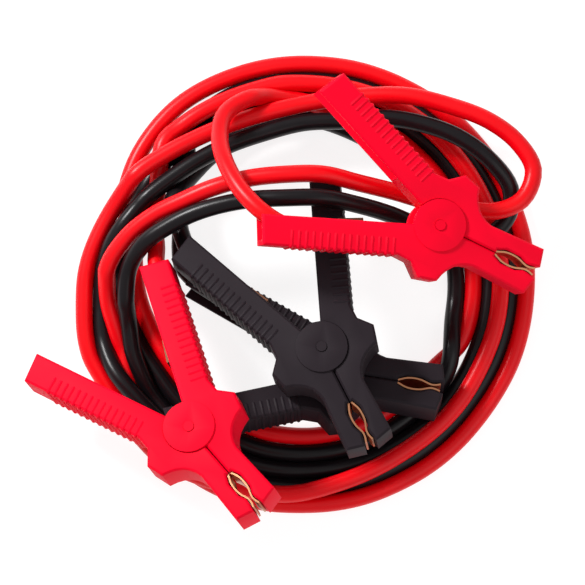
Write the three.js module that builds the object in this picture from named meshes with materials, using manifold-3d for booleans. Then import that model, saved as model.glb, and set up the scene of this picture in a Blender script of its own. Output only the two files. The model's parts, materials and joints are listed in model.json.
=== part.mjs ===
// A set of jumper cables, coiled for storage: a red and a black lead with a clamp at each end.
// Millimetres, +Z up. The origin is below the middle of the four clamps, on the ground.
import * as THREE from 'three';
import { mergeVertices } from 'three/addons/utils/BufferGeometryUtils.js';
import Module from 'manifold-3d';

const wasm = await Module();
wasm.setup();

// Clearances
const GAP = 0.3;
const SEAM = 0.6;

// Making of the solids
const WELD = 0.0001;
const NOTCH_SEGMENTS = 6;
const ROUND_SEGMENTS = 32;
const COIL_SEGMENTS = 48;

// Cable and coil
const CABLE_DIAMETER = 10.2;
const CABLE_SIDES = 8;
const STEP_LENGTH = 26;
const COIL_OUTER_RADIUS = 137;
const COIL_INNER_RADIUS = 90;
const COIL_LAYERS = 2;
const INNER_TURN_LAYERS = 1;
const INNER_TURN_LANES = 2;
const COIL_CORNER = 4;

// Clamp shell
const SHELL_THICKNESS = 24;
const SHELL_BEVEL = 1.2;
const WALL = 3;
const HANDLE_ANGLE = THREE.MathUtils.degToRad(27);
const HANDLE_LENGTH = 102;
const HANDLE_WIDTH = 17.5;
const CHANNEL_START = 36;
const GRIP_FLARE = [-6.4, 25.8];
const GRIP_ROOT = [-14.8, 25.7];
const SHOULDER_BACK = [1.5, 32.4];
const SHOULDER_FRONT = [11.9, 29.5];
const NOTCH_CONTROL = [15, 15];
const NECK = [27.5, 12.9];
const NOSE_LENGTH = 63;
const NOSE_CORNER = [60.5, 14];
const NOSE_TIP_HALF = 3.6;

// Mouth between the jaws, lined with bent copper plates
const MOUTH_START = 36;
const MOUTH_DEPTH = 2.6;
const MOUTH_FULL_START = 41;
const MOUTH_FULL_END = 50;
const BITE_START = 54.5;
const BITE_END = 57;
const CONTACT_END = 61;
const CONTACT_FLARE = 1.6;
const CONTACT_THICKNESS = 1.3;
const CONTACT_WIDTH = 20;

// Hinge
const DISC_RADIUS = 15;
const DISC_RISE = 1.2;
const KNUCKLE_RADIUS = 11;
const KNUCKLE_HEIGHT = 13;
const PIN_RADIUS = 3;
const PIN_PROUD = 0.6;

// Cable lug in the handle
const LUG_LENGTH = 14;
const LUG_WIDTH = 11;
const LUG_HEIGHT = 11;
const LUG_PLACE = 50;

const red = new THREE.MeshStandardMaterial({ color: 0xe8002a, roughness: 0.45, metalness: 0 });
const black = new THREE.MeshStandardMaterial({ color: 0x262426, roughness: 0.55, metalness: 0 });
const redCable = new THREE.MeshStandardMaterial({ color: 0xe00018, roughness: 0.4, metalness: 0 });
const blackCable = new THREE.MeshStandardMaterial({ color: 0x1a191b, roughness: 0.4, metalness: 0 });
const copper = new THREE.MeshStandardMaterial({ color: 0xc78a5e, roughness: 0.35, metalness: 1 });

// Solids for the cuts and joins
function solid(geometry) {
  const bare = geometry.clone();
  bare.deleteAttribute('normal');
  bare.deleteAttribute('uv');
  const merged = mergeVertices(bare, WELD);
  return new wasm.Manifold(new wasm.Mesh({
    numProp: 3,
    vertProperties: new Float32Array(merged.attributes.position.array),
    triVerts: new Uint32Array(merged.index.array),
  }));
}

function geometryOf(body) {
  const mesh = body.getMesh();
  const geometry = new THREE.BufferGeometry();
  geometry.setAttribute('position', new THREE.BufferAttribute(mesh.vertProperties, 3));
  geometry.setIndex(new THREE.BufferAttribute(mesh.triVerts, 1));
  return geometry;
}

function plate(shape, thickness, bevel = 0) {
  const geometry = new THREE.ExtrudeGeometry(shape, {
    depth: thickness - 2 * bevel,
    bevelEnabled: bevel > 0,
    bevelThickness: bevel,
    bevelSize: bevel,
    bevelOffset: -bevel,
    bevelSegments: 1,
    curveSegments: NOTCH_SEGMENTS,
  });
  return geometry.translate(0, 0, bevel - thickness / 2);
}

function drum(radius, low, high) {
  const geometry = new THREE.CylinderGeometry(radius, radius, high - low, ROUND_SEGMENTS);
  return geometry.rotateX(Math.PI / 2).translate(0, 0, (low + high) / 2);
}

// Places along the handle: distance from the pivot, and side offset away from the other handle
function handlePoint(distance, offset) {
  const along = new THREE.Vector2(-Math.cos(HANDLE_ANGLE), Math.sin(HANDLE_ANGLE));
  const outward = new THREE.Vector2(Math.sin(HANDLE_ANGLE), Math.cos(HANDLE_ANGLE));
  return along.multiplyScalar(distance).addScaledVector(outward, offset);
}

// One half of the shell on the +Y side: handle, shoulder and jaw in one outline
function halfOutline() {
  const outerEnd = handlePoint(HANDLE_LENGTH, HANDLE_WIDTH / 2);
  const innerEnd = handlePoint(HANDLE_LENGTH, -HANDLE_WIDTH / 2);
  const recess = CONTACT_THICKNESS + GAP;
  const shape = new THREE.Shape();
  shape.moveTo(0, SEAM / 2);
  shape.lineTo(MOUTH_START, SEAM / 2);
  shape.lineTo(MOUTH_START, SEAM / 2 + recess);
  shape.lineTo(MOUTH_FULL_START, MOUTH_DEPTH + recess);
  shape.lineTo(MOUTH_FULL_END, MOUTH_DEPTH + recess);
  shape.lineTo(BITE_START, SEAM / 2 + recess + GAP);
  shape.lineTo(BITE_END, SEAM / 2 + recess + GAP);
  shape.lineTo(CONTACT_END, CONTACT_FLARE + recess);
  shape.lineTo(NOSE_LENGTH, NOSE_TIP_HALF);
  shape.lineTo(...NOSE_CORNER);
  shape.lineTo(...NECK);
  shape.quadraticCurveTo(...NOTCH_CONTROL, ...SHOULDER_FRONT);
  shape.lineTo(...SHOULDER_BACK);
  shape.lineTo(...GRIP_FLARE);
  shape.lineTo(...GRIP_ROOT);
  shape.lineTo(outerEnd.x, outerEnd.y);
  shape.lineTo(innerEnd.x, innerEnd.y);
  return shape;
}

// The handle is a channel, open towards the other handle and at its end
function handleChannel() {
  const corners = [
    handlePoint(CHANNEL_START, HANDLE_WIDTH / 2 - WALL),
    handlePoint(HANDLE_LENGTH + WALL, HANDLE_WIDTH / 2 - WALL),
    handlePoint(HANDLE_LENGTH + WALL, -HANDLE_WIDTH),
    handlePoint(CHANNEL_START, -HANDLE_WIDTH),
  ];
  return plate(new THREE.Shape(corners), SHELL_THICKNESS - 2 * WALL);
}

function shellBlank() {
  return solid(plate(halfOutline(), SHELL_THICKNESS, SHELL_BEVEL)).subtract(solid(handleChannel()));
}

// Cable half: the round cheeks of the hinge belong to it, above and below the knuckle
function cableHalf() {
  const cheekStart = KNUCKLE_HEIGHT / 2 + GAP;
  const top = SHELL_THICKNESS / 2 + DISC_RISE;
  const pocket = solid(drum(KNUCKLE_RADIUS + GAP, -cheekStart, cheekStart));
  const pinHole = solid(drum(PIN_RADIUS + GAP / 2, -SHELL_THICKNESS, SHELL_THICKNESS));
  const upper = solid(drum(DISC_RADIUS, cheekStart, top));
  const lower = solid(drum(DISC_RADIUS, -top, -cheekStart));
  const body = shellBlank().subtract(pocket).add(upper).add(lower);
  return geometryOf(body.subtract(pinHole));
}

// Moving half: a knuckle between the cheeks, and round pockets that clear them
function movingHalf() {
  const knuckle = solid(drum(KNUCKLE_RADIUS, -KNUCKLE_HEIGHT / 2, KNUCKLE_HEIGHT / 2));
  const upper = solid(drum(DISC_RADIUS + GAP, KNUCKLE_HEIGHT / 2, SHELL_THICKNESS));
  const lower = solid(drum(DISC_RADIUS + GAP, -SHELL_THICKNESS, -KNUCKLE_HEIGHT / 2));
  const pinHole = solid(drum(PIN_RADIUS + GAP / 2, -SHELL_THICKNESS, SHELL_THICKNESS));
  return geometryOf(shellBlank().subtract(upper).subtract(lower).add(knuckle).subtract(pinHole));
}

function pivotPin() {
  const reach = SHELL_THICKNESS / 2 + DISC_RISE + PIN_PROUD;
  return drum(PIN_RADIUS, -reach, reach);
}

// Bent copper plate inside the nose, on the +Y side
function contactJaw() {
  const back = CONTACT_THICKNESS;
  const face = [
    [MOUTH_START + GAP, SEAM / 2],
    [MOUTH_FULL_START, MOUTH_DEPTH],
    [MOUTH_FULL_END, MOUTH_DEPTH],
    [BITE_START, SEAM / 2 + GAP],
    [BITE_END, SEAM / 2 + GAP],
    [CONTACT_END, CONTACT_FLARE],
  ];
  const outline = face.map(([x, y]) => new THREE.Vector2(x, y));
  const behind = face.map(([x, y]) => new THREE.Vector2(x, y + back)).reverse();
  return plate(new THREE.Shape([...outline, ...behind]), CONTACT_WIDTH);
}

// Copper block that is crimped on the cable's end, in the cable half's handle
function cableLug() {
  const geometry = new THREE.BoxGeometry(LUG_LENGTH, LUG_WIDTH, LUG_HEIGHT);
  const offset = HANDLE_WIDTH / 2 - WALL - GAP - LUG_WIDTH / 2;
  const place = handlePoint(LUG_PLACE, offset);
  return geometry.rotateZ(Math.PI - HANDLE_ANGLE).translate(place.x, place.y, 0);
}

function add(group, name, geometry, material) {
  const mesh = new THREE.Mesh(geometry, material);
  mesh.name = name;
  group.add(mesh);
}

// A whole clamp, jaws along +X. The cable half is on the -Y side.
function clamp(name, material) {
  const group = new THREE.Group();
  group.name = name;
  const cableSide = new THREE.Group();
  cableSide.rotation.x = Math.PI;
  add(cableSide, `${name}_cable_half`, cableHalf(), material);
  add(cableSide, `${name}_cable_contact_jaw`, contactJaw(), copper);
  add(cableSide, `${name}_cable_lug`, cableLug(), copper);
  add(group, `${name}_moving_half`, movingHalf(), material);
  add(group, `${name}_moving_contact_jaw`, contactJaw(), copper);
  add(group, `${name}_pivot_pin`, pivotPin(), material);
  group.add(cableSide);
  return group;
}

// A clamp lies with its pivot at a place, its jaws at a heading, and leans by two small angles
function lay(group, { at, heading, pitch, roll, turnedOver }) {
  group.position.set(...at);
  group.rotation.order = 'ZYX';
  group.rotation.z = THREE.MathUtils.degToRad(heading);
  group.rotation.y = THREE.MathUtils.degToRad(pitch);
  group.rotation.x = THREE.MathUtils.degToRad(roll) + (turnedOver ? Math.PI : 0);
  return group;
}

// Where the clamps lie, measured from the middle of the coil
const CLAMPS = {
  top_red_clamp: { at: [74, 26, 68], heading: -25, pitch: 10, roll: 0, turnedOver: false },
  side_red_clamp: { at: [-64.5, -92, 65.2], heading: -49.5, pitch: -16, roll: 0, turnedOver: true },
  upper_black_clamp: { at: [9.5, -45, 54.5], heading: -63.5, pitch: -10, roll: 0, turnedOver: false },
  lower_black_clamp: { at: [17, -57, 31], heading: -9, pitch: -1, roll: -14, turnedOver: true },
};

// The cables' free stretches, from the middle of the coil: [x, y, height of the cable's middle]
const RED_TURN = [
  [-116, 6, 27], [-104, 24, 34], [-88, 36, 41], [-72, 43, 48], [-54, 50, 54], [-34, 55, 57], [-12, 57, 60],
  [10, 57, 60], [30, 53, 53], [51, 49, 44], [71, 44, 38], [92, 40, 36.5], [112, 39, 37], [126, 46, 37],
  [132, 63, 36], [123, 79, 36], [106, 92, 36], [83, 101, 35], [58, 107, 33], [29, 107, 29], [3, 104, 26],
  [-23, 98, 26], [-45, 91, 26], [-64, 83, 26], [-83, 73, 26], [-100, 61, 26],
];
const BLACK_TURN = [
  [-105, -10, 26], [-103, 6, 31], [-94, 19, 42], [-77, 30, 49], [-60, 37, 54], [-36, 42, 59], [-12, 43, 63],
  [10, 43, 63], [30, 40, 54], [48, 36, 44], [66, 30, 34], [88, 25, 27], [107, 26, 26], [118, 38, 26],
  [119, 53, 28], [107, 69, 33], [89, 82, 35], [69, 90, 33], [48, 94, 31], [23, 93, 28], [-2, 92, 26],
  [-25, 86, 26], [-45, 79, 26], [-63, 70, 26], [-78, 60, 26], [-92, 49, 26],
];
const TOP_RED_LEAD = [
  [17.3, 23.7, 76.9], [-8, 23.5, 80.8], [-23, 31, 82], [-36, 44, 77], [-46, 62, 66], [-50, 79, 53],
  [-47, 95, 42], [-34, 105, 34], [-14, 110, 30],
];
const SIDE_RED_LEAD = [
  [-76.6, -37.7, 51.1], [-83, -8, 42.8], [-87, 8, 36.5], [-87, 18, 30], [-88, 27, 27], [-88, 36, 26],
];
const UPPER_BLACK_LEAD = [
  [-36.3, -11.6, 45.6], [-50.3, -1, 43], [-61, 8, 40.5], [-68, 15, 38], [-72, 24, 34], [-75, 35, 29],
  [-78, 45, 26],
];
const LOWER_BLACK_LEAD = [
  [-29.4, -24, 18.7], [-43.7, -13.9, 16.5], [-56.1, -5.7, 14.8], [-66.1, 1.3, 13.2], [-72.6, 9.4, 11.5],
  [-74, 21, 9], [-74, 32, 9],
];

function route(points) {
  return new THREE.CatmullRomCurve3(points.map((point) => new THREE.Vector3(...point)), false, 'centripetal');
}

function cable(points) {
  const curve = route(points);
  const section = new THREE.Shape();
  for (let side = 0; side < CABLE_SIDES; side += 1) {
    const angle = (side + 0.5) * 2 * Math.PI / CABLE_SIDES;
    const x = Math.cos(angle) * CABLE_DIAMETER / 2;
    const y = Math.sin(angle) * CABLE_DIAMETER / 2;
    if (side === 0) section.moveTo(x, y);
    else section.lineTo(x, y);
  }
  const steps = Math.round(curve.getLength() / STEP_LENGTH);
  return new THREE.ExtrudeGeometry(section, { steps, extrudePath: curve, bevelEnabled: false });
}

// The outer shape of all the turns that lie on each other in the coil
function coil() {
  const height = COIL_LAYERS * CABLE_DIAMETER;
  const step = INNER_TURN_LAYERS * CABLE_DIAMETER;
  const stepRadius = COIL_INNER_RADIUS + INNER_TURN_LANES * CABLE_DIAMETER;
  const profile = [
    [COIL_INNER_RADIUS + COIL_CORNER, 0],
    [COIL_OUTER_RADIUS - COIL_CORNER, 0],
    [COIL_OUTER_RADIUS, COIL_CORNER],
    [COIL_OUTER_RADIUS, height - COIL_CORNER],
    [COIL_OUTER_RADIUS - COIL_CORNER, height],
    [stepRadius + COIL_CORNER, height],
    [stepRadius, height - COIL_CORNER],
    [stepRadius, step],
    [COIL_INNER_RADIUS + COIL_CORNER, step],
    [COIL_INNER_RADIUS, step - COIL_CORNER],
    [COIL_INNER_RADIUS, COIL_CORNER],
    [COIL_INNER_RADIUS + COIL_CORNER, 0],
  ];
  const points = profile.map(([radius, z]) => new THREE.Vector2(radius, z));
  return new THREE.LatheGeometry(points, COIL_SEGMENTS).rotateX(Math.PI / 2);
}

// Lower a clamp until it touches the ground
function lower(group) {
  const box = new THREE.Box3().setFromObject(group, true);
  group.position.z -= box.min.z;
}

const clamps = new THREE.Group();
for (const [name, pose] of Object.entries(CLAMPS)) {
  clamps.add(lay(clamp(name, name.includes('red') ? red : black), pose));
}

const cables = new THREE.Group();
add(cables, 'coil', coil(), redCable);
add(cables, 'red_turn', cable(RED_TURN), redCable);
add(cables, 'black_turn', cable(BLACK_TURN), blackCable);
add(cables, 'top_red_lead', cable(TOP_RED_LEAD), redCable);
add(cables, 'side_red_lead', cable(SIDE_RED_LEAD), redCable);
add(cables, 'upper_black_lead', cable(UPPER_BLACK_LEAD), blackCable);
add(cables, 'lower_black_lead', cable(LOWER_BLACK_LEAD), blackCable);

const jumperCables = new THREE.Group();
jumperCables.add(clamps, cables);
lower(clamps.getObjectByName('lower_black_clamp'));
const clampsBox = new THREE.Box3().setFromObject(clamps, true);
const middle = clampsBox.getCenter(new THREE.Vector3());
jumperCables.position.set(-middle.x, -middle.y, 0);
export default jumperCables;
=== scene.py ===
"""A set of car jumper cables: one red and one black cable in a loose coil, with a clamp at each end."""

import json
import logging
import math
from dataclasses import dataclass, field
from enum import Enum

import bmesh
import bpy
import numpy as np
from mathutils import Euler, Matrix, Vector

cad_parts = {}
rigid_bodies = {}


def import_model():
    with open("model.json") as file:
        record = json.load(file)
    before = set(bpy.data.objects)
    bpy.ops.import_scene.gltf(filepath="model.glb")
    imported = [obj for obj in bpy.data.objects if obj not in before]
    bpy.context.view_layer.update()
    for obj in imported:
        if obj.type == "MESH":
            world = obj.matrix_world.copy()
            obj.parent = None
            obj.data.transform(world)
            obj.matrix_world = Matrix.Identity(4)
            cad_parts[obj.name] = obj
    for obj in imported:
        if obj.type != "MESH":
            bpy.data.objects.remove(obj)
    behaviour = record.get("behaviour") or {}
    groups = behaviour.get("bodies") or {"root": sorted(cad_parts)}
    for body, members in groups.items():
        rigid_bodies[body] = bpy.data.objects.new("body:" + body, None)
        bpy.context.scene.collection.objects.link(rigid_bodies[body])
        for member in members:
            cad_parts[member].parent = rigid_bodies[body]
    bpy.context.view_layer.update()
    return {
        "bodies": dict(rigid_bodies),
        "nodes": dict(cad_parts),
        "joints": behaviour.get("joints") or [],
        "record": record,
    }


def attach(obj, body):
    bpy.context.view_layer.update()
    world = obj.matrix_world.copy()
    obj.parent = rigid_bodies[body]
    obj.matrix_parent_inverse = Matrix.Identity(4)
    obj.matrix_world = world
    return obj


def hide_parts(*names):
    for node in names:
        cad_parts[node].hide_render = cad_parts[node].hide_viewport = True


log = logging.getLogger("jumper_cables")
MM = 0.001


def add_object(name: str, data: bpy.types.ID) -> bpy.types.Object:
    """Make an object and link it to the scene.

    Args:
        name: The object's name.
        data: Its mesh, curve, light or camera.

    Returns:
        The new object, at the origin.
    """
    made = bpy.data.objects.new(name, data)
    bpy.context.scene.collection.objects.link(made)
    return made


class Tint(Enum):
    """The two colours that the set comes in."""

    RED = "red"
    BLACK = "black"


@dataclass(frozen=True)
class Finish:
    """A procedural surface: colour with slight variation, roughness and a fine bump."""

    name: str
    color: tuple[float, float, float]
    variation: float
    roughness: float
    metallic: float = 0.0
    coat: float = 0.0
    grain_scale: float = 1800.0
    grain_depth: float = 0.00004
    specular: float = 0.5
    glow: float = 0.0
    coat_roughness: float = 0.25
    blotch_scale: float = 45.0
    bump_strength: float = 0.35

    def material(self) -> bpy.types.Material:
        """Build the node material.

        Returns:
            The new material.
        """
        made = bpy.data.materials.new(self.name)
        made.use_nodes = True
        nodes = made.node_tree.nodes
        links = made.node_tree.links
        shader = nodes["Principled BSDF"]
        shader.inputs["Metallic"].default_value = self.metallic
        shader.inputs["Coat Weight"].default_value = self.coat
        shader.inputs["Coat Roughness"].default_value = self.coat_roughness
        shader.inputs["Specular IOR Level"].default_value = self.specular
        shader.inputs["Emission Color"].default_value = (1.0, 1.0, 1.0, 1.0)
        shader.inputs["Emission Strength"].default_value = self.glow
        place = nodes.new("ShaderNodeTexCoord")
        blotch = nodes.new("ShaderNodeTexNoise")
        blotch.inputs["Scale"].default_value = self.blotch_scale
        blotch.inputs["Detail"].default_value = 4.0
        links.new(place.outputs["Object"], blotch.inputs["Vector"])
        tone = nodes.new("ShaderNodeValToRGB")
        dark = tuple(channel * (1.0 - self.variation) for channel in self.color)
        light = tuple(min(1.0, channel * (1.0 + self.variation)) for channel in self.color)
        tone.color_ramp.elements[0].position = 0.3
        tone.color_ramp.elements[0].color = (*dark, 1.0)
        tone.color_ramp.elements[1].position = 0.7
        tone.color_ramp.elements[1].color = (*light, 1.0)
        links.new(blotch.outputs["Fac"], tone.inputs["Fac"])
        links.new(tone.outputs["Color"], shader.inputs["Base Color"])
        spread = nodes.new("ShaderNodeMapRange")
        spread.inputs["To Min"].default_value = self.roughness - 0.05
        spread.inputs["To Max"].default_value = self.roughness + 0.07
        links.new(blotch.outputs["Fac"], spread.inputs["Value"])
        links.new(spread.outputs["Result"], shader.inputs["Roughness"])
        grain = nodes.new("ShaderNodeTexNoise")
        grain.inputs["Scale"].default_value = self.grain_scale
        links.new(place.outputs["Object"], grain.inputs["Vector"])
        bump = nodes.new("ShaderNodeBump")
        bump.inputs["Strength"].default_value = self.bump_strength
        bump.inputs["Distance"].default_value = self.grain_depth
        links.new(grain.outputs["Fac"], bump.inputs["Height"])
        links.new(bump.outputs["Normal"], shader.inputs["Normal"])
        return made


RED_SHELL = Finish("red_shell", (0.84, 0.0, 0.02), 0.05, 0.55, specular=0.07)
BLACK_SHELL = Finish("black_shell", (0.018, 0.0128, 0.0165), 0.1, 0.55, specular=0.1)
RED_SHEATH = Finish("red_sheath", (0.78, 0.0, 0.005), 0.05, 0.34, grain_scale=900.0, specular=0.22)
BLACK_SHEATH = Finish("black_sheath", (0.006, 0.0045, 0.0057), 0.12, 0.3, grain_scale=900.0, specular=0.22)
COPPER = Finish("copper_plating", (0.55, 0.25, 0.13), 0.14, 0.34, metallic=1.0, grain_scale=700.0)
DULL_COPPER = Finish("dull_copper", (0.16, 0.075, 0.045), 0.2, 0.55, metallic=1.0, grain_scale=700.0)
GROUND = Finish("pale_ground", (0.26, 0.26, 0.26), 0.004, 0.7, grain_depth=0.00001, glow=0.84)


class Finishes:
    """Every finish, made once."""

    def __init__(self) -> None:
        """Make the materials."""
        self.shell = {Tint.RED: RED_SHELL.material(), Tint.BLACK: BLACK_SHELL.material()}
        self.sheath = {Tint.RED: RED_SHEATH.material(), Tint.BLACK: BLACK_SHEATH.material()}
        self.copper = COPPER.material()
        self.dull_copper = DULL_COPPER.material()
        self.ground = GROUND.material()


@dataclass
class Studio:
    """The floor, the light and the camera at the photograph's viewing angle."""

    middle: tuple[float, float, float] = (0.0051, 0.0128, 0.0)
    elevation: float = math.radians(84.0)
    distance: float = 2.2
    frame_width: float = 0.3445
    sensor: float = 36.0
    ground_half: float = 6.0
    room_strength: float = 0.55

    def camera(self) -> None:
        """Make the camera and set it as the scene's camera."""
        data = bpy.data.cameras.new("camera")
        data.sensor_width = self.sensor
        data.lens = self.sensor * self.distance / self.frame_width
        made = add_object("camera", data)
        away = Vector((0.0, -math.cos(self.elevation), math.sin(self.elevation)))
        made.location = Vector(self.middle) + away * self.distance
        made.rotation_euler = away.to_track_quat("Z", "Y").to_euler()
        bpy.context.scene.camera = made

    def lamp(self, name: str, place: tuple[float, float, float], size: float, power: float) -> None:
        """Make one square area lamp that faces the coil.

        Args:
            name: The lamp's name.
            place: Where it hangs.
            size: The length of its side.
            power: Its power in watts.
        """
        data = bpy.data.lights.new(name, "AREA")
        data.size = size
        data.energy = power
        made = add_object(name, data)
        made.location = place
        made.rotation_euler = Vector(place).to_track_quat("Z", "Y").to_euler()

    def build(self, finishes: Finishes) -> None:
        """Make the floor, the lamps and the pale surroundings.

        Args:
            finishes: The set's materials.
        """
        mesh = bpy.data.meshes.new("ground")
        half = self.ground_half
        corners = [(-half, -half, 0.0), (half, -half, 0.0), (half, half, 0.0), (-half, half, 0.0)]
        mesh.from_pydata(corners, [], [(0, 1, 2, 3)])
        mesh.materials.append(finishes.ground)
        ground = add_object("ground", mesh)
        self.lamp("key_lamp", (-0.9, 0.75, 0.9), 0.3, 24.0)
        self.lamp("fill_lamp", (0.9, -0.6, 1.3), 1.2, 5.0)
        world = bpy.data.worlds.new("pale_room")
        world.use_nodes = True
        world.node_tree.nodes["Background"].inputs["Color"].default_value = (1.0, 1.0, 1.0, 1.0)
        world.node_tree.nodes["Background"].inputs["Strength"].default_value = self.room_strength
        bpy.context.scene.world = world
        bpy.context.scene.view_settings.view_transform = "Standard"


COIL_MIDDLE = (13.11, 17.79)

# Free stretches in millimetres from the middle of the coil, as in the part's source
RED_TURN = [
    (-116, 6, 27), (-104, 24, 34), (-88, 36, 41), (-72, 43, 48), (-54, 50, 54), (-34, 55, 57), (-12, 57, 60),
    (10, 57, 60), (30, 53, 53), (51, 49, 44), (71, 44, 38), (92, 40, 36.5), (112, 39, 37), (126, 46, 37),
    (132, 63, 36), (123, 79, 36), (106, 92, 36), (83, 101, 35), (58, 107, 33), (29, 107, 29), (3, 104, 26),
    (-23, 98, 26), (-45, 91, 26), (-64, 83, 26), (-83, 73, 26), (-100, 61, 26),
]
BLACK_TURN = [
    (-105, -10, 26), (-103, 6, 31), (-94, 19, 42), (-77, 30, 49), (-60, 37, 54), (-36, 42, 59), (-12, 43, 63),
    (10, 43, 63), (30, 40, 54), (48, 36, 44), (66, 30, 34), (88, 25, 27), (107, 26, 26), (118, 38, 26),
    (119, 53, 28), (107, 69, 33), (89, 82, 35), (69, 90, 33), (48, 94, 31), (23, 93, 28), (-2, 92, 26),
    (-25, 86, 26), (-45, 79, 26), (-63, 70, 26), (-78, 60, 26), (-92, 49, 26),
]
TOP_RED_LEAD = [
    (17.3, 23.7, 76.9), (-8, 23.5, 80.8), (-23, 31, 82), (-36, 44, 77), (-46, 62, 66), (-50, 79, 53),
    (-47, 95, 42), (-34, 105, 34),
]
SIDE_RED_LEAD = [
    (-76.6, -37.7, 51.1), (-83, -8, 42.8), (-87, 8, 36.5), (-87, 18, 30), (-88, 27, 27), (-88, 36, 26),
]
UPPER_BLACK_LEAD = [
    (-36.3, -11.6, 45.6), (-50.3, -1, 43), (-61, 8, 40.5), (-68, 15, 38), (-72, 24, 34), (-75, 35, 29),
    (-78, 45, 26),
]
LOWER_BLACK_LEAD = [
    (-29.4, -24, 18.7), (-43.7, -13.9, 16.5), (-56.1, -5.7, 14.8), (-66.1, 1.3, 13.2), (-72.6, 9.4, 11.5),
    (-74, 21, 9), (-74, 32, 9),
]

# The coil's turns: angle in degrees, distance from the middle and height in millimetres
RED_CLOCKWISE = [
    (97, 110, 25), (88, 108, 17.5), (78, 105, 15), (61, 101, 14), (35, 101, 11), (10, 100.5, 6),
    (-8, 99, 5.1), (-22, 97, 5.1), (-40, 92, 5.1),
    (-65, 92, 5.1), (-95, 92.7, 5.1), (-120, 93, 5.1), (-145, 95, 5.1), (-170, 98, 5.1), (-190, 106, 5.1),
    (-203, 117, 5.1), (-215, 125, 5.1), (-235, 131, 5.1), (-260, 131, 5.1), (-285, 130.6, 5.1),
    (-310, 130, 5.1), (-335, 130, 5.1), (-360, 129.5, 5.1), (-385, 127, 5.1), (-410, 125, 5.1),
    (-435, 128.5, 5.1), (-455, 130, 5.1), (-475, 128, 5.1), (-495, 122, 6), (-515, 119, 12), (-530, 118.5, 20),
]
RED_BACK = [
    (162, 123, 24), (175, 129, 20), (190, 131.5, 16), (210, 131.5, 15.3), (235, 131.5, 15.3), (255, 129, 15.3),
    (275, 121, 15.3), (300, 117, 15), (325, 116.6, 14), (350, 115.5, 13.5), (375, 116, 13.5), (400, 118, 14),
    (425, 119, 15), (450, 119, 15.3), (475, 119, 15.3), (490, 116, 17), (505, 107, 22),
]
BLACK_CLOCKWISE = [
    (135, 94, 20), (115, 97, 10), (90, 99, 5.1), (60, 96, 5.1), (35, 91, 5.1), (10, 89.5, 6), (-8, 91, 12),
    (-22, 95, 15.3), (-40, 99, 14), (-60, 102, 8), (-90, 103, 5.1), (-120, 103, 5.1), (-150, 105, 5.1),
    (-175, 110, 8), (-190, 112, 14), (-205, 112, 15.3), (-220, 111, 15.3), (-232, 110.5, 12), (-248, 110, 5.1),
    (-270, 110, 5.1), (-300, 109.5, 5.1), (-330, 109.5, 5.1), (-355, 109.5, 5.1), (-380, 109, 5.1),
    (-405, 108.5, 5.1), (-430, 112, 5.1), (-452, 113.2, 5.1), (-475, 114, 6), (-500, 113, 9), (-518, 110, 15),
    (-527, 107.5, 21),
]
BLACK_BACK = [
    (162, 112, 24), (172, 119, 21), (185, 122, 17), (205, 121, 14), (230, 121, 10), (255, 122, 6),
    (275, 119, 5.1), (300, 119, 5.1), (330, 119.5, 5.1), (360, 119.5, 5.1), (390, 120, 5.1), (420, 120.3, 5.1),
    (450, 120.4, 5.1), (475, 120, 5.1), (490, 113, 5.1), (500, 104, 5.5), (509, 92, 6),
]


@dataclass
class Strand:
    """One whole cable as the points of its middle line."""

    name: str
    tint: Tint
    points: np.ndarray
    held: np.ndarray


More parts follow.
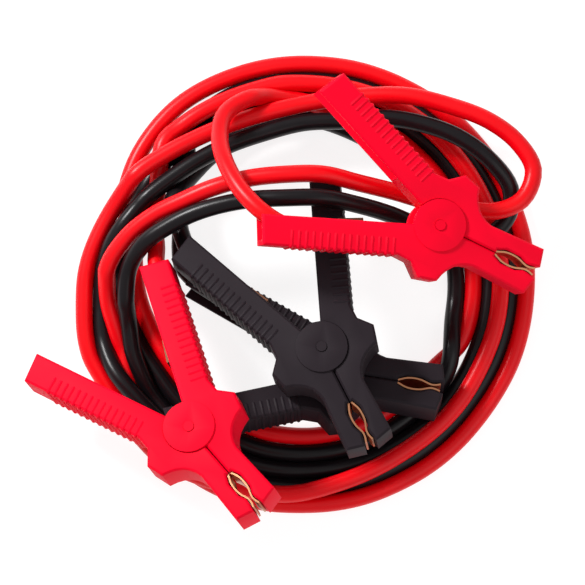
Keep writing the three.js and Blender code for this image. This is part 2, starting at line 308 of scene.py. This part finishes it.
@dataclass
class CablePair:
    """The red and the black cable, wound into one loose coil."""

    diameter: float = 10.2
    spacing: float = 4.0
    rounds: int = 90
    settle_step: float = 0.12
    turn_step: float = 12.0
    knot_steps: int = 16
    near_along: int = 4
    near_across: float = 4.0
    least_gap: float = 0.01
    crowding: float = 0.6
    home_pull: float = 0.02
    evening: float = 0.35
    strands: list[Strand] = field(default_factory=list)

    def turns(self, polar: list[tuple[float, float, float]]) -> list[tuple[float, float, float]]:
        """Work out the coil's turns from angles and distances.

        Args:
            polar: Angle, distance from the middle and height of the chosen places.

        Returns:
            Places about 12 degrees apart, in millimetres from the middle of the coil.
        """
        made = []
        for first, second in zip(polar, polar[1:] + [polar[-1]]):
            steps = max(1, round(abs(second[0] - first[0]) / self.turn_step))
            for step in range(steps):
                share = step / steps
                ease = share * share * (3 - 2 * share)
                angle = math.radians(first[0] + (second[0] - first[0]) * share)
                radius = first[1] + (second[1] - first[1]) * ease
                height = first[2] + (second[2] - first[2]) * ease
                made.append((radius * math.cos(angle), radius * math.sin(angle), height))
        return made

    def smooth_line(self, knots: np.ndarray) -> np.ndarray:
        """Run a centripetal spline through the knots and space its points evenly.

        Args:
            knots: The chosen places.

        Returns:
            Evenly spaced points.
        """
        padded = np.vstack([2 * knots[0] - knots[1], knots, 2 * knots[-1] - knots[-2]])
        fine = []
        for index in range(1, len(padded) - 2):
            p0, p1, p2, p3 = padded[index - 1:index + 3]
            t1 = np.linalg.norm(p1 - p0) ** 0.5
            t2 = t1 + np.linalg.norm(p2 - p1) ** 0.5
            t3 = t2 + np.linalg.norm(p3 - p2) ** 0.5
            for t in np.linspace(t1, t2, self.knot_steps, endpoint=False):
                a1 = p0 * (t1 - t) / t1 + p1 * t / t1
                a2 = p1 * (t2 - t) / (t2 - t1) + p2 * (t - t1) / (t2 - t1)
                a3 = p2 * (t3 - t) / (t3 - t2) + p3 * (t - t2) / (t3 - t2)
                b1 = a1 * (t2 - t) / t2 + a2 * t / t2
                b2 = a2 * (t3 - t) / (t3 - t1) + a3 * (t - t1) / (t3 - t1)
                fine.append(b1 * (t2 - t) / (t2 - t1) + b2 * (t - t1) / (t2 - t1))
        fine.append(padded[-2])
        return self.even(np.array(fine))

    def even(self, line: np.ndarray) -> np.ndarray:
        """Space the points of a line evenly.

        Args:
            line: The points.

        Returns:
            Points at the pair's spacing.
        """
        travelled = np.concatenate([[0.0], np.cumsum(np.linalg.norm(np.diff(line, axis=0), axis=1))])
        places = np.linspace(0.0, travelled[-1], max(2, round(travelled[-1] / self.spacing)) + 1)
        return np.column_stack([np.interp(places, travelled, line[:, axis]) for axis in range(3)])

    def strand(self, name: str, tint: Tint, stretches: list[tuple[bool, list]]) -> Strand:
        """Join a cable's stretches into one line.

        Args:
            name: The cable's name.
            tint: Its colour.
            stretches: Whether each stretch stays where it is, and its places.

        Returns:
            The cable.
        """
        knots = np.array([place for _, places in stretches for place in places], float)
        line = self.smooth_line(knots)
        fixed = np.array([place for stays, places in stretches if stays for place in places], float)
        fixed_line = [self.smooth_line(np.array(places, float)) for stays, places in stretches if stays]
        near = np.vstack([fixed, *fixed_line])
        away = np.linalg.norm(line[:, None, :] - near[None, :, :], axis=2).min(axis=1)
        return Strand(name, tint, line, away < self.spacing)

    def settle(self) -> None:
        """Let the free turns sink and press each other aside, which lessens their overlaps."""
        points = np.vstack([one.points for one in self.strands])
        free = ~np.concatenate([one.held for one in self.strands])
        order = np.concatenate([np.arange(len(one.points)) + index * 10000
                                for index, one in enumerate(self.strands)])
        pair_a, pair_b = np.triu_indices(len(points), 1)
        apart = np.abs(order[pair_a] - order[pair_b]) > self.near_along
        close = np.linalg.norm(points[pair_a] - points[pair_b], axis=1) < self.near_across * self.diameter
        pair_a, pair_b = pair_a[apart & close], pair_b[apart & close]
        home = points.copy()
        inner = free.copy()
        first_end = len(self.strands[0].points)
        inner[[0, first_end - 1, first_end, len(points) - 1]] = False
        for _ in range(self.rounds):
            points[free, 2] -= self.settle_step
            gap = points[pair_b] - points[pair_a]
            length = np.linalg.norm(gap, axis=1)
            touch = length < self.diameter
            push = gap[touch] / np.maximum(length[touch, None], self.least_gap)
            push *= (self.diameter - length[touch, None]) * 0.5
            moved = np.zeros_like(points)
            hits = np.zeros(len(points))
            for index, sign in ((pair_a[touch], -1.0), (pair_b[touch], 1.0)):
                np.add.at(moved, index, sign * push)
                np.add.at(hits, index, 1.0)
            moved /= np.maximum(1.0, hits * self.crowding)[:, None]
            points[free] += moved[free]
            points[free, :2] += (home[free, :2] - points[free, :2]) * self.home_pull
            middle = points.copy()
            middle[1:-1] = (points[:-2] + points[2:]) / 2
            points[inner] += (middle[inner] - points[inner]) * self.evening
            points[free, 2] = np.maximum(points[free, 2], self.diameter / 2)
        start = 0
        for one in self.strands:
            one.points = points[start:start + len(one.points)]
            start += len(one.points)

    def build(self, finishes: Finishes) -> None:
        """Args:
            finishes: The set's materials.
        """
        self.strands = [
            self.strand("red_cable", Tint.RED, [
                (True, TOP_RED_LEAD), (False, self.turns(RED_CLOCKWISE)), (True, RED_TURN),
                (False, self.turns(RED_BACK)), (True, SIDE_RED_LEAD[::-1]),
            ]),
            self.strand("black_cable", Tint.BLACK, [
                (True, UPPER_BLACK_LEAD), (False, self.turns(BLACK_CLOCKWISE)), (True, BLACK_TURN),
                (False, self.turns(BLACK_BACK)), (True, LOWER_BLACK_LEAD[::-1]),
            ]),
        ]
        self.settle()
        replaced = {
            Tint.RED: ["coil", "red_turn", "top_red_lead", "side_red_lead"],
            Tint.BLACK: ["black_turn", "upper_black_lead", "lower_black_lead"],
        }
        for one in self.strands:
            places = (one.points + np.array([*COIL_MIDDLE, 0.0])) * MM
            curve = bpy.data.curves.new(one.name, "CURVE")
            curve.dimensions = "3D"
            curve.bevel_depth = self.diameter / 2 * MM
            curve.bevel_resolution = 6
            curve.use_fill_caps = True
            spline = curve.splines.new("POLY")
            spline.points.add(len(places) - 1)
            for point, place in zip(spline.points, places):
                point.co = (*place, 1.0)
            spline.use_smooth = True
            curve.materials.append(finishes.sheath[one.tint])
            piece = add_object(one.name, curve)
            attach(piece, "cables")
            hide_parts(*replaced[one.tint])


@dataclass
class Clamp:
    """One spring clamp: two moulded halves, ribs on the handles, copper jaws and a pin."""

    name: str
    tint: Tint
    at: tuple[float, float, float]
    heading: float
    pitch: float
    roll: float
    turned_over: bool
    handle_angle: float = math.radians(27)
    handle_length: float = 102.0
    handle_width: float = 17.5
    shell_thickness: float = 24.0
    rib_count: int = 15
    rib_pitch: float = 4.2
    rib_start: float = 2.6
    rib_radius: float = 1.3
    rib_reach: float = 10.5
    rib_corner: float = 1.2
    grip_root: tuple[float, float] = (-14.8, 25.7)
    rib_sides: int = 8
    edge_radius: float = 1.1
    jaw_line: tuple[tuple[float, float], ...] = (
        (36.3, 0.35), (38.5, 1.3), (41.5, 2.4), (45.5, 2.8), (49.5, 2.4), (52.5, 1.4), (55.0, 0.65),
        (57.2, 0.6), (59.2, 1.0), (61.0, 1.6),
    )
    jaw_thickness: float = 1.0
    jaw_width: float = 20.0
    jaw_steps: int = 4

    def place(self) -> Matrix:
        """Work out where the clamp lies.

        Returns:
            The matrix from the clamp's own frame, in millimetres, to the set's frame, in metres.
        """
        turn = math.radians(self.roll) + (math.pi if self.turned_over else 0.0)
        lean = Euler((turn, math.radians(self.pitch), math.radians(self.heading)), "XYZ").to_matrix().to_4x4()
        x, y, z = self.at
        spot = Matrix.Translation(Vector((x + COIL_MIDDLE[0], y + COIL_MIDDLE[1], z)) * MM)
        return spot @ lean @ Matrix.Scale(MM, 4)

    def shell(self, frame: dict, half: str, body: str, finishes: Finishes) -> None:
        """Copy a half's solid, round its edges and let it stand for the solid.

        Args:
            frame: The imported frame.
            half: The half's name after the clamp's.
            body: The body that it rides on.
            finishes: The set's materials.
        """
        node = f"{self.name}_{half}"
        mesh = frame["nodes"][node].data.copy()
        work = bmesh.new()
        work.from_mesh(mesh)
        bmesh.ops.remove_doubles(work, verts=work.verts, dist=0.00001)
        bmesh.ops.dissolve_limit(work, angle_limit=math.radians(2), verts=work.verts, edges=work.edges)
        work.to_mesh(mesh)
        work.free()
        mesh.materials.clear()
        mesh.materials.append(finishes.shell[self.tint])
        piece = add_object(f"{node}_shell", mesh)
        bevel = piece.modifiers.new("rounding", "BEVEL")
        bevel.width = self.edge_radius * MM
        bevel.segments = 3
        bevel.limit_method = "ANGLE"
        bevel.angle_limit = math.radians(28)
        bpy.context.view_layer.update()
        shaped = bpy.data.meshes.new_from_object(piece.evaluated_get(bpy.context.evaluated_depsgraph_get()))
        piece.modifiers.clear()
        piece.data = shaped
        for face in shaped.polygons:
            face.use_smooth = True
        shaped.set_sharp_from_angle(angle=math.radians(32))
        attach(piece, body)
        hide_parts(node)

    def grip_line(self) -> Matrix:
        """Work out where the handle's outer edge runs.

        Returns:
            The matrix of a frame at the first rib, X along the edge and Y away from the handle.
        """
        cos, sin = math.cos(self.handle_angle), math.sin(self.handle_angle)
        half = self.handle_width / 2
        root = Vector((*self.grip_root, 0.0))
        end = Vector((-cos * self.handle_length + sin * half, sin * self.handle_length + cos * half, 0.0))
        along = (end - root).normalized()
        outward = Vector((along.y, -along.x, 0.0))
        if outward.y < 0:
            outward = -outward
        spot = root + along * self.rib_start
        return Matrix((
            (along.x, outward.x, 0.0, spot.x), (along.y, outward.y, 0.0, spot.y), (0.0, 0.0, 1.0, 0.0),
            (0.0, 0.0, 0.0, 1.0),
        ))

    def rib(self) -> bpy.types.Object:
        """Make one rib: a round bar that wraps the handle's outer edge and part of both faces.

        Returns:
            The rib, across the handle at its start.
        """
        edge = -0.3 * self.rib_radius
        face = self.shell_thickness / 2 - 0.6 * self.rib_radius
        bend = self.rib_corner
        upper = [(edge - self.rib_reach, face - self.rib_radius), (edge - self.rib_reach + 2.0, face)]
        for step in range(5):
            turn = math.radians(90 - 22.5 * step)
            upper.append((edge - bend + bend * math.cos(turn), face - bend + bend * math.sin(turn)))
        path = upper + [(offset, -height) for offset, height in reversed(upper)]
        work = bmesh.new()
        rings = []
        for index, (offset, height) in enumerate(path):
            before = Vector(path[max(0, index - 1)])
            after = Vector(path[min(len(path) - 1, index + 1)])
            along = (after - before).normalized()
            across = Vector((along.y, -along.x))
            ring = []
            for side in range(self.rib_sides):
                turn = 2 * math.pi * side / self.rib_sides
                out = across * math.cos(turn) * self.rib_radius
                ring.append(work.verts.new((math.sin(turn) * self.rib_radius, offset + out.x, height + out.y)))
            rings.append(ring)
        for first, second in zip(rings, rings[1:]):
            for side in range(self.rib_sides):
                following = (side + 1) % self.rib_sides
                work.faces.new((first[side], first[following], second[following], second[side]))
        work.faces.new(rings[0])
        work.faces.new(rings[-1])
        bmesh.ops.recalc_face_normals(work, faces=work.faces)
        mesh = bpy.data.meshes.new("rib")
        work.to_mesh(mesh)
        work.free()
        return add_object("rib", mesh)

    def rib_tree(self) -> bpy.types.GeometryNodeTree:
        """Build the tree that sets ribs along a handle.

        Returns:
            The node tree, with the ribs' count, pitch, shape and material as inputs.
        """
        tree = bpy.data.node_groups.new(f"{self.name}_ribs", "GeometryNodeTree")
        tree.interface.new_socket("Geometry", in_out="OUTPUT", socket_type="NodeSocketGeometry")
        for label, kind in (("Count", "NodeSocketInt"), ("Pitch", "NodeSocketFloat"),
                            ("Rib", "NodeSocketObject"), ("Material", "NodeSocketMaterial")):
            tree.interface.new_socket(label, in_out="INPUT", socket_type=kind)
        nodes = tree.nodes
        links = tree.links
        given = nodes.new("NodeGroupInput")
        out = nodes.new("NodeGroupOutput")
        step = nodes.new("ShaderNodeCombineXYZ")
        links.new(given.outputs["Pitch"], step.inputs["X"])
        row = nodes.new("GeometryNodeMeshLine")
        links.new(given.outputs["Count"], row.inputs["Count"])
        links.new(step.outputs["Vector"], row.inputs["Offset"])
        rib = nodes.new("GeometryNodeObjectInfo")
        rib.inputs["As Instance"].default_value = True
        links.new(given.outputs["Rib"], rib.inputs["Object"])
        spread = nodes.new("GeometryNodeInstanceOnPoints")
        links.new(row.outputs["Mesh"], spread.inputs["Points"])
        links.new(rib.outputs["Geometry"], spread.inputs["Instance"])
        real = nodes.new("GeometryNodeRealizeInstances")
        links.new(spread.outputs["Instances"], real.inputs["Geometry"])
        colour = nodes.new("GeometryNodeSetMaterial")
        links.new(real.outputs["Geometry"], colour.inputs["Geometry"])
        links.new(given.outputs["Material"], colour.inputs["Material"])
        links.new(colour.outputs["Geometry"], out.inputs["Geometry"])
        return tree

    def ribs(self, side: int, half: str, body: str, finishes: Finishes) -> None:
        """Set the grip ribs across the outer edge of one handle.

        Args:
            side: 1 for the moving half, -1 for the cable half.
            half: The half's name after the clamp's.
            body: The body that they ride on.
            finishes: The set's materials.
        """
        tree = self.rib_tree()
        piece = add_object(f"{self.name}_{half}_ribs", bpy.data.meshes.new("ribs"))
        modifier = piece.modifiers.new("ribs", "NODES")
        modifier.node_group = tree
        rib = self.rib()
        values = {"Count": self.rib_count, "Pitch": self.rib_pitch, "Rib": rib,
                  "Material": finishes.shell[self.tint]}
        for item in tree.interface.items_tree:
            if item.in_out == "INPUT":
                modifier[item.identifier] = values[item.name]
        bpy.context.view_layer.update()
        shaped = bpy.data.meshes.new_from_object(piece.evaluated_get(bpy.context.evaluated_depsgraph_get()))
        piece.modifiers.clear()
        piece.data = shaped
        bpy.data.objects.remove(rib)
        flip = Matrix.Scale(float(side), 4, (0, 1, 0))
        shaped.transform(self.place() @ flip @ self.grip_line())
        work = bmesh.new()
        work.from_mesh(shaped)
        bmesh.ops.remove_doubles(work, verts=work.verts, dist=0.000001)
        bmesh.ops.recalc_face_normals(work, faces=work.faces)
        work.to_mesh(shaped)
        work.free()
        for face in shaped.polygons:
            face.use_smooth = True
        shaped.set_sharp_from_angle(angle=math.radians(40))
        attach(piece, body)

    def contact_jaw(self, side: int, half: str, body: str, finishes: Finishes) -> None:
        """Bend one copper plate along the mouth, in smooth curves.

        Args:
            side: 1 for the moving half, -1 for the cable half.
            half: "moving" or "cable".
            body: The body that it rides on.
            finishes: The set's materials.
        """
        knots = [Vector(place) for place in self.jaw_line]
        line = []
        for index in range(len(knots) - 1):
            p0 = knots[max(0, index - 1)]
            p1, p2 = knots[index], knots[index + 1]
            p3 = knots[min(len(knots) - 1, index + 2)]
            for step in range(self.jaw_steps):
                t = step / self.jaw_steps
                line.append(0.5 * (2 * p1 + (p2 - p0) * t + (2 * p0 - 5 * p1 + 4 * p2 - p3) * t * t
                                   + (3 * p1 - 3 * p2 + p3 - p0) * t * t * t))
        line.append(knots[-1])
        half_width = self.jaw_width / 2
        work = bmesh.new()
        rows = []
        for index, spot in enumerate(line):
            along = (line[min(len(line) - 1, index + 1)] - line[max(0, index - 1)]).normalized()
            behind = spot + Vector((-along.y, along.x)) * self.jaw_thickness
            rows.append([work.verts.new((point.x, side * point.y, height)) for point, height in (
                (spot, half_width), (spot, -half_width), (behind, -half_width), (behind, half_width))])
        for first, second in zip(rows, rows[1:]):
            for corner in range(4):
                following = (corner + 1) % 4
                work.faces.new((first[corner], first[following], second[following], second[corner]))
        work.faces.new(rows[0])
        work.faces.new(rows[-1])
        bmesh.ops.recalc_face_normals(work, faces=work.faces)
        mesh = bpy.data.meshes.new("jaw")
        work.to_mesh(mesh)
        work.free()
        mesh.transform(self.place())
        mesh.materials.append(finishes.copper)
        for face in mesh.polygons:
            face.use_smooth = True
        mesh.set_sharp_from_angle(angle=math.radians(40))
        piece = add_object(f"{self.name}_{half}_copper", mesh)
        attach(piece, body)
        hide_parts(f"{self.name}_{half}_contact_jaw")

    def build(self, frame: dict, finishes: Finishes) -> None:
        """Dress the whole clamp.

        Args:
            frame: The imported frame.
            finishes: The set's materials.
        """
        moving = f"{self.name}_moving"
        for side, half, body in ((1, "moving_half", moving), (-1, "cable_half", "cables")):
            self.shell(frame, half, body, finishes)
            self.ribs(side, half, body, finishes)
        self.contact_jaw(1, "moving", moving, finishes)
        self.contact_jaw(-1, "cable", "cables", finishes)
        paint(frame, f"{self.name}_cable_lug", finishes.dull_copper)
        paint(frame, f"{self.name}_pivot_pin", finishes.shell[self.tint])
        log.info("%s dressed", self.name)


def paint(frame: dict, node: str, material: bpy.types.Material) -> None:
    """Give a solid that stays a finish of its own.

    Args:
        frame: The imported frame.
        node: The solid's name.
        material: The finish.
    """
    shown = frame["nodes"][node]
    if not shown.material_slots:
        shown.data.materials.append(material)
    for slot in shown.material_slots:
        slot.material = material


CLAMPS = [
    Clamp("top_red_clamp", Tint.RED, (74, 26, 68), -25, 10, 0, False),
    Clamp("side_red_clamp", Tint.RED, (-64.5, -92, 65.2), -49.5, -16, 0, True),
    Clamp("upper_black_clamp", Tint.BLACK, (9.5, -45, 54.5), -63.5, -10, 0, False),
    Clamp("lower_black_clamp", Tint.BLACK, (17, -57, 25.87), -9, -1, -14, True),
]


def main() -> None:
    """Build the set in order."""
    logging.basicConfig(level=logging.INFO, format="%(message)s")
    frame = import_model()
    studio = Studio()
    studio.camera()
    finishes = Finishes()
    CablePair().build(finishes)
    for clamp in CLAMPS:
        clamp.build(frame, finishes)
    studio.build(finishes)


if __name__ == "__main__":
    main()
